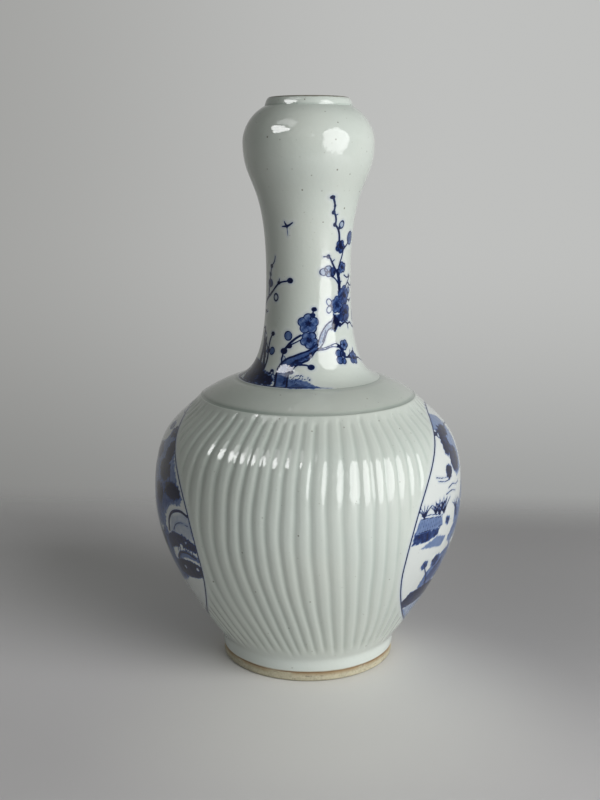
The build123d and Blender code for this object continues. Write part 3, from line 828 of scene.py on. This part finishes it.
for turn, height, sx, sy, count, size, tone in (
        (-14, 61, 6, 4, 24, 0.65, 0.55), (-28, 59, 4.5, 4, 18, 0.65, 0.6), (-38, 68, 4, 6, 20, 0.6, 0.55),
        (8, 58, 5, 4, 20, 0.65, 0.6), (20, 66, 4, 5, 18, 0.6, 0.55), (-36, 84, 4, 4, 16, 0.6, 0.5)):
    b.leaves(turn, height, sx, sy, count, size, tone)
b.line(1.2, (-32, 50), (-35, 58), (-34, 66), (-38, 76), (-36, 85), end=0.6)
for turn, height, length in ((-20, 72, 16), (-6, 66, 14), (8, 70, 14), (12, 32, 14), (-8, 28, 14), (-4, 110, 12)):
    b.waves(turn, height, length)
b.ink, b.wash = np.where(inOval, b.ink, ovalInk), b.wash * inOval
b.lay()
print("left panel painted")


# Materials

class Wire:
    # a socket that takes part in sums: an expression adds its Math nodes
    def __init__(self, recipe, socket):
        self.recipe, self.socket = recipe, socket

    def sum(self, operation, *values):
        return self.recipe.node("Math", {"operation": operation}, dict(enumerate(values)))

    def __add__(self, other):
        return self.sum("ADD", self, other)

    def __sub__(self, other):
        return self.sum("SUBTRACT", self, other)

    def __rsub__(self, other):
        return self.sum("SUBTRACT", other, self)

    def __mul__(self, other):
        return self.sum("MULTIPLY", self, other)

    def __truediv__(self, other):
        return self.sum("DIVIDE", self, other)

    __radd__ = __add__
    __rmul__ = __mul__

    def greater(self, other):
        return self.sum("MAXIMUM", self, other)

    def rise(self, low, high):
        # 0 at low and 1 at high, softly; low may be the greater of the two
        return self.recipe.node("MapRange", {"interpolation_type": "SMOOTHSTEP"},
                                {"Value": self, "From Min": low, "From Max": high})

    def part(self, name):
        # another output of the same node
        return Wire(self.recipe, self.socket.node.outputs[name])


class Recipe:
    # one material, built node by node
    def __init__(self, name, tree=None):
        if tree is None:
            self.material = bpy.data.materials.new(name)
            self.material.use_nodes = True
            tree = self.material.node_tree
        self.tree = tree
        tree.nodes.clear()

    def node(self, kind, settings=None, sockets=None):
        made = self.tree.nodes.new("ShaderNode" + kind)
        for name, value in (settings or {}).items():
            if name == "stops":
                elements = made.color_ramp.elements
                for _ in value[2:]:
                    elements.new(0.5)
                for element, (place, colour) in zip(elements, value):
                    element.position, element.color = place, (*colour, 1)
            else:
                setattr(made, name, value)
        for name, value in (sockets or {}).items():
            if isinstance(value, Wire):
                self.tree.links.new(value.socket, made.inputs[name])
            else:
                made.inputs[name].default_value = value
        outputs = [o for o in made.outputs if o.enabled]
        return Wire(self, outputs[0]) if outputs else None

    def mix(self, factor, a, b, blend="MIX"):
        colours = [c if isinstance(c, Wire) else (*c, 1) for c in (a, b)]
        return self.node("Mix", {"data_type": "RGBA", "blend_type": blend},
                         {0: factor, 6: colours[0], 7: colours[1]})

    def value(self, name):
        return self.node("Attribute", {"attribute_name": name}).part("Fac")

    def place(self):
        return self.node("TexCoord").part("Object")

    def noise(self, where, scale, detail=2, rough=0.5):
        return self.node("TexNoise", None, {"Vector": where, "Scale": scale, "Detail": detail,
                                            "Roughness": rough})

    def specks(self, where, scale, size, rarity, seed=0.0):
        # round dots at random places; rarity leaves most of the cells empty
        shifted = self.node("VectorMath", {"operation": "ADD"}, {0: where, 1: (seed, seed * 0.7, -seed)})
        cells = self.node("TexVoronoi", {"feature": "F1"}, {"Vector": shifted, "Scale": scale})
        colours = self.node("SeparateColor", None, {0: cells.part("Color")})
        dot = cells.part("Distance").rise(size * scale, size * scale * 0.45)
        return dot * colours.part("Red").rise(rarity, rarity + 0.01) * (0.4 + 0.6 * colours.part("Green"))

    def principled(self, colour, roughness, normal=None, fixed=None):
        sockets = {"Base Color": colour, "Roughness": roughness, **(fixed or {})}
        if normal:
            sockets["Normal"] = normal
        return self.node("BsdfPrincipled", None, sockets)

    def finish(self, shader):
        self.node("OutputMaterial", None, {"Surface": shader})
        return self.material


glaze = {
    "colour": (0.50, 0.545, 0.505), "pooled": (0.35, 0.41, 0.37), "warm": (0.53, 0.555, 0.50),
    # collar: a painted shade, the collar's glaze made darker than the body's
    # low: painted light, a lighter glaze for the foot band and the lowest belly
    "white": (0.585, 0.61, 0.60), "low": (0.55, 0.595, 0.565), "collar": (0.43, 0.465, 0.43),
    "roughness": 0.055, "ior": 1.52, "speck": (0.10, 0.085, 0.06),
}
cobalt = [(0.0, (1, 1, 1)), (0.3, (0.28, 0.37, 0.62)), (0.6, (0.065, 0.125, 0.36)), (0.85, (0.012, 0.035, 0.16)), (1.0, (0.001, 0.005, 0.05))]
clay = {"bare": (0.45, 0.415, 0.30), "burnt": (0.18, 0.10, 0.042), "dark": (0.12, 0.10, 0.07), "roughness": 0.72}


def clouded(r, where, tone):
    # soft, slightly warmer clouds in the glaze's own colour
    return r.mix(r.noise(where, 26, 3).rise(0.35, 0.72) * 0.35, tone, glaze["warm"])


def wornGlaze(r, where, base, bold=0.72, faint=0.6):
    # what every glazed surface shares: iron specks, pinholes and a faint orange-peel
    colour = r.mix((r.specks(where, 210, 0.00055, bold) * 0.8).greater(
        r.specks(where, 330, 0.0003, faint, 3.1) * 0.5), base, glaze["speck"])
    peel = r.noise(where, 110, 2, 0.45) * 0.65 + r.noise(where, 480, 2, 0.5) * 0.35
    normal = r.node("Bump", None, {"Strength": 1.0, "Distance": 0.00018, "Height": peel})
    roughness = glaze["roughness"] + 0.05 * r.noise(where, 60, 3).rise(0.45, 0.8)
    return colour, roughness, normal


def painted(r, where, base):
    # cobalt under the glaze: brush lines by their distance, washes by their depth
    ink, wash = r.value("ink"), r.value("wash")
    grain = r.noise(where, 650, 2)
    line = (ink + (grain - 0.5) * 0.16).rise(0.2, -0.08) * (0.84 + 0.24 * r.noise(where, 260, 2))
    brushed = wash * (0.72 + 0.86 * r.noise(where, 420, 3))
    depth = line.greater(brushed + ink.rise(1.4, 0.0) * 0.08)
    base = r.mix(r.value("ground"), clouded(r, where, base), glaze["white"])
    blue = r.node("ValToRGB", {"stops": cobalt}, {"Fac": depth})
    return r.mix(1.0, base, blue, "MULTIPLY")


def bodyGlaze():
    r = Recipe("ribbed_body_glaze")
    where = r.place()
    base = r.mix(r.value("groove").rise(0.45, 1.0) * 0.4, glaze["colour"], glaze["pooled"])
    # painted light: the belly's glaze is made lighter towards its foot, below 20 mm
    base = r.mix((r.node("SeparateXYZ", None, {0: where}).part("Z") / mm).rise(20, 11), base, glaze["low"])
    return r.finish(r.principled(*wornGlaze(r, where, painted(r, where, base)), {"IOR": glaze["ior"]}))


def neckGlaze():
    r = Recipe("painted_neck_glaze")
    where = r.place()
    return r.finish(r.principled(*wornGlaze(r, where, painted(r, where, glaze["colour"]), 0.7, 0.5),
                                 {"IOR": glaze["ior"]}))


def collarGlaze():
    r = Recipe("collar_glaze")
    where = r.place()
    # the collar's tone is a painted shade; the darker lines at its foot and top are pooled glaze
    pooled = r.mix(r.value("groove"), glaze["collar"], tuple(0.72 * c for c in glaze["pooled"]))
    return r.finish(r.principled(*wornGlaze(r, where, clouded(r, where, pooled)), {"IOR": glaze["ior"]}))


def lipGlaze():
    r = Recipe("lip_glaze")
    where = r.place()
    height = r.node("SeparateXYZ", None, {0: where}).part("Z") / mm
    uneven = r.noise(where, 120, 3)
    crest = (height + uneven * 0.5).rise(259.45, 259.95)
    root = (height - uneven * 0.4).rise(256.9, 256.2) * 0.6
    colour = r.mix(root, clouded(r, where, glaze["colour"]), glaze["pooled"])
    colour = r.mix(crest * 0.85, colour, clay["dark"])
    return r.finish(r.principled(*wornGlaze(r, where, colour), {"IOR": glaze["ior"]}))


def footFinish():
    # glazed band, burnt line at the glaze's edge, bare buff clay below and inside the rim
    r = Recipe("foot_finish")
    where = r.place()
    split = r.node("SeparateXYZ", None, {0: where})
    height = split.part("Z") / mm
    away = r.node("VectorMath", {"operation": "LENGTH"}, {
        0: r.node("VectorMath", {"operation": "MULTIPLY"}, {0: where, 1: (1, 1, 0)})}).part("Value") / mm
    edge = 2.6 + 2.2 * away.rise(36.2, 38.5) + (r.noise(where, 90, 3) - 0.5) * 0.9
    above = height - edge
    glazed = above.rise(-0.12, 0.12)
    grit = r.noise(where, 900, 3, 0.6)
    bare = r.mix(grit.rise(0.35, 0.7), clay["bare"], tuple(0.78 * c for c in clay["bare"]))
    bare = r.mix(r.noise(where, 160, 3).rise(0.5, 0.75) * 0.6, bare, (0.52, 0.47, 0.33))
    scuff = r.noise(r.node("Mapping", None, {"Vector": where, "Scale": (1, 1, 5)}), 240, 4, 0.7).rise(0.575, 0.69)
    bare = r.mix(scuff * 0.75, bare, clay["dark"])
    bare = r.mix(above.rise(-2.6, -0.6) * r.noise(where, 60, 3).rise(0.32, 0.56) * 0.9, bare, (0.27, 0.185, 0.09))
    bare = r.mix(above.rise(-1.1, -0.1) * (0.5 + 0.5 * r.noise(where, 90, 3).rise(0.35, 0.6)), bare, clay["burnt"])
    # darker towards the bottom edge of the foot
    bare = r.mix(height.rise(1.1, 0.1) * 0.6, bare, (0.17, 0.165, 0.12))
    # the foot band's glaze takes the lighter low tone: painted light
    colour, shine, normal = wornGlaze(r, where, clouded(r, where, glaze["low"]))
    colour = r.mix(above.rise(0.9, 0.1) * 0.5, colour, (0.42, 0.39, 0.28))
    rough = shine * glazed + clay["roughness"] * (1 - glazed)
    height2 = grit * (1 - glazed)
    normal = r.node("Bump", None, {"Strength": 0.5, "Distance": 0.00012, "Height": height2, "Normal": normal})
    return r.finish(r.principled(r.mix(glazed, bare, colour), rough, normal, {"IOR": glaze["ior"]}))


def slipFinish():
    # fired slip inside the joints: matt and grainy
    r = Recipe("fired_slip")
    where = r.place()
    grain = r.noise(where, 700, 3, 0.6)
    colour = r.mix(grain.rise(0.3, 0.7), (0.60, 0.59, 0.54), (0.50, 0.48, 0.42))
    normal = r.node("Bump", None, {"Strength": 0.6, "Distance": 0.0002, "Height": grain})
    return r.finish(r.principled(colour, 0.8 + 0.15 * grain, normal))


def bulbGlaze():
    r = Recipe("bulb_glaze")
    where = r.place()
    return r.finish(r.principled(*wornGlaze(r, where, painted(r, where, glaze["colour"]), 0.4, 0.4),
                                 {"IOR": glaze["ior"]}))


def baseGlaze():
    r = Recipe("base_glaze")
    where = r.place()
    return r.finish(r.principled(*wornGlaze(r, where, clouded(r, where, glaze["white"])), {"IOR": glaze["ior"]}))


bodyFinish = bodyGlaze()
lowerBody.data.materials.append(bodyFinish)
upperBody.data.materials.append(bodyFinish)
neck.data.materials.append(neckGlaze())
head.data.materials.append(bulbGlaze())
collar.data.materials.append(collarGlaze())
rim.data.materials.append(lipGlaze())
footRim.data.materials.append(footFinish())
cadFinishes = {"base_floor": baseGlaze(), "belly_joint_slip": slipFinish()}
cadFinishes["collar_joint_slip"] = cadFinishes["head_joint_slip"] = cadFinishes["belly_joint_slip"]
for node, finish in cadFinishes.items():
    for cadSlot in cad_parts[node].material_slots:
        cadSlot.material = finish
print("materials made")


# Studio: floor, lights, backdrop tones and camera

studio = {
    "aim": (0, 0, 0.17), "paintedLightCentre": (0.015, -0.07, 0), "paintedLightReach": 0.125, "floorSize": 3.0, "floorEnd": 0.22,
    "floorPaintedLitFront": (0.60, 0.59, 0.595), "floorPaintedShadedBack": (0.50, 0.493, 0.50),
    "wallLeft": (0.35, 0.35, 0.34), "wallRight": (0.52, 0.525, 0.515), "room": (0.115, 0.118, 0.11),
}
keyLamp = {
    "name": "key_softbox", "turn": 50, "rise": 13.5, "distance": 1.0, "light": 5.8,
    "corners": ((-0.14, 0.52), (0.18, 0.51), (0.44, 0.30), (0.475, -0.16), (0.31, -0.34), (0.06, -0.41),
                (-0.24, -0.39), (-0.44, -0.22), (-0.37, 0.28)),
}
leftLamp = {
    "name": "left_window", "turn": -55, "rise": 37, "distance": 0.85, "light": 11,
    "corners": ((-0.27, 0.095), (0.03, 0.13), (0.12, 0.09), (0.27, 0.12), (0.25, 0.0), (0.02, -0.12),
                (-0.07, -0.11), (-0.205, -0.03)),
}
upperLamp = {
    "name": "left_blind", "turn": -55, "rise": 37, "distance": 1.5, "light": 2.6,
    "corners": ((-0.388, 0.276), (-0.319, 0.519), (-0.103, 0.676), (0.212, 0.723), (0.469, 0.645),
                (0.51, 0.404), (0.45, 0.257)),
}
spotLamp = {
    "name": "small_spot", "turn": 9, "rise": 24, "distance": 1.0, "light": 6,
    "corners": ((-0.015, -0.09), (0.015, -0.09), (0.02, 0.09), (-0.02, 0.09)),
}


fillLamp = {
    "name": "left_fill", "turn": -68, "rise": 28, "distance": 1.5, "light": 0.42,
    "corners": ((-0.6, -0.6), (0.6, -0.6), (0.6, 0.6), (-0.6, 0.6)),
}


def hang(lamp, lights=True, mirrored=True):
    # a glowing sheet with the given corners, square to its direction from the vase; it may be seen in
    # the glaze alone, when it lights nothing
    bm = bmesh.new()
    bm.faces.new([bm.verts.new((x, y, 0)) for x, y in lamp["corners"]])
    a, e = math.radians(lamp["turn"]), math.radians(lamp["rise"])
    towards = Vector((math.sin(a) * math.cos(e), -math.cos(a) * math.cos(e), math.sin(e)))
    across = Vector((0, 0, 1)).cross(towards).normalized()
    sheet = Matrix((across, towards.cross(across), towards)).transposed().to_4x4()
    place = Vector(studio["aim"]) + towards * lamp["distance"]
    bmesh.ops.transform(bm, verts=bm.verts, matrix=Matrix.Translation(place) @ sheet)
    mesh = bpy.data.meshes.new(lamp["name"])
    bm.to_mesh(mesh)
    bm.free()
    glow = bpy.data.objects.new(lamp["name"], mesh)
    bpy.context.scene.collection.objects.link(glow)
    r = Recipe(lamp["name"] + "_light")
    mesh.materials.append(r.finish(r.node("Emission", None, {"Strength": lamp["light"]})))
    glow.visible_camera = False
    glow.visible_diffuse, glow.visible_glossy = lights, mirrored


hang(keyLamp)
hang(leftLamp, lights=False)
hang(upperLamp, lights=False)
hang(spotLamp, lights=False)
hang(fillLamp, mirrored=False)

bm = bmesh.new()
bmesh.ops.create_grid(bm, x_segments=60, y_segments=60, size=studio["floorSize"])
bmesh.ops.translate(bm, verts=bm.verts, vec=(0, -studio["floorSize"] + studio["floorEnd"] + 0.3, 0))
floorMesh = bpy.data.meshes.new("floor")
bm.to_mesh(floorMesh)
bm.free()
floor = bpy.data.objects.new("floor", floorMesh)
bpy.context.scene.collection.objects.link(floor)
r = Recipe("pale_floor")
where = r.place()
depth = r.node("SeparateXYZ", None, {0: where}).part("Y")
# painted light and shade: the floor is painted lighter in front of the vase and darker behind it
paper = r.mix(depth.rise(-0.16, 0.04), studio["floorPaintedLitFront"], studio["floorPaintedShadedBack"])
paper = r.mix(r.noise(where, 7, 4).rise(0.35, 0.75) * 0.35, paper, (0.53, 0.523, 0.53))
# painted light and shade towards the back of the floor: lighter to the left, darker to the right
paintedSideLightShade = r.mix(r.node("SeparateXYZ", None, {0: where}).part("X").rise(0.14, -0.12),
                 (0.80, 0.80, 0.80), (1.32, 1.32, 1.32))
paper = r.mix(depth.rise(-0.14, 0.02), paper, r.mix(1.0, paper, paintedSideLightShade, "MULTIPLY"))
# a painted pool of light on the floor round the front of the foot
paintedLightPool = r.node("VectorMath", {"operation": "DISTANCE"}, {0: where, 1: studio["paintedLightCentre"]}).part("Value")
paper = r.mix(paintedLightPool.rise(studio["paintedLightReach"], 0.03), paper, (0.71, 0.705, 0.685))
shown = depth.rise(studio["floorEnd"] + 0.05, studio["floorEnd"] - 0.05)
floor.data.materials.append(r.finish(r.node("MixShader", None, {
    0: shown, 1: r.node("BsdfTransparent"), 2: r.principled(paper, 0.62)})))

world = bpy.data.worlds.new("studio_room")
bpy.context.scene.world = world
world.use_nodes = True
r = Recipe("room", world.node_tree)
direction = r.node("SeparateXYZ", None, {0: r.node("TexCoord").part("Generated")})
wallTone = r.mix(direction.part("X").rise(-0.42, 0.08), studio["wallLeft"], studio["wallRight"])
low = direction.part("Z").rise(-0.42, -0.06)
high = direction.part("Z").rise(0.75, 0.25)
wallTone = r.mix(1.0, wallTone, r.mix(low, (0.5, 0.5, 0.5), (1, 1, 1)), "MULTIPLY")
behind = direction.part("Y").rise(0.0, 0.55) * high
roomTone = r.mix(behind, studio["room"], wallTone)
r.node("OutputWorld", None, {"Surface": r.node("Background", None, {"Color": roomTone, "Strength": 1.0})})

view = {"place": (0.0266, -0.5125, 0.2319), "turn": 3.4, "pitch": 12.01, "roll": -0.14, "lens": 50.35}
cameraData = bpy.data.cameras.new("camera")
cameraData.lens = view["lens"]
cameraData.sensor_width = 36
cameraData.sensor_fit = "AUTO"
cameraData.clip_start = 0.01
camera = bpy.data.objects.new("camera", cameraData)
bpy.context.scene.collection.objects.link(camera)
camera.rotation_euler = Euler((math.radians(90 - view["pitch"]), 0, math.radians(view["turn"])), "XYZ")
camera.location = view["place"]
bpy.context.scene.camera = camera
bpy.context.scene.view_settings.view_transform = "Standard"
print("studio made")
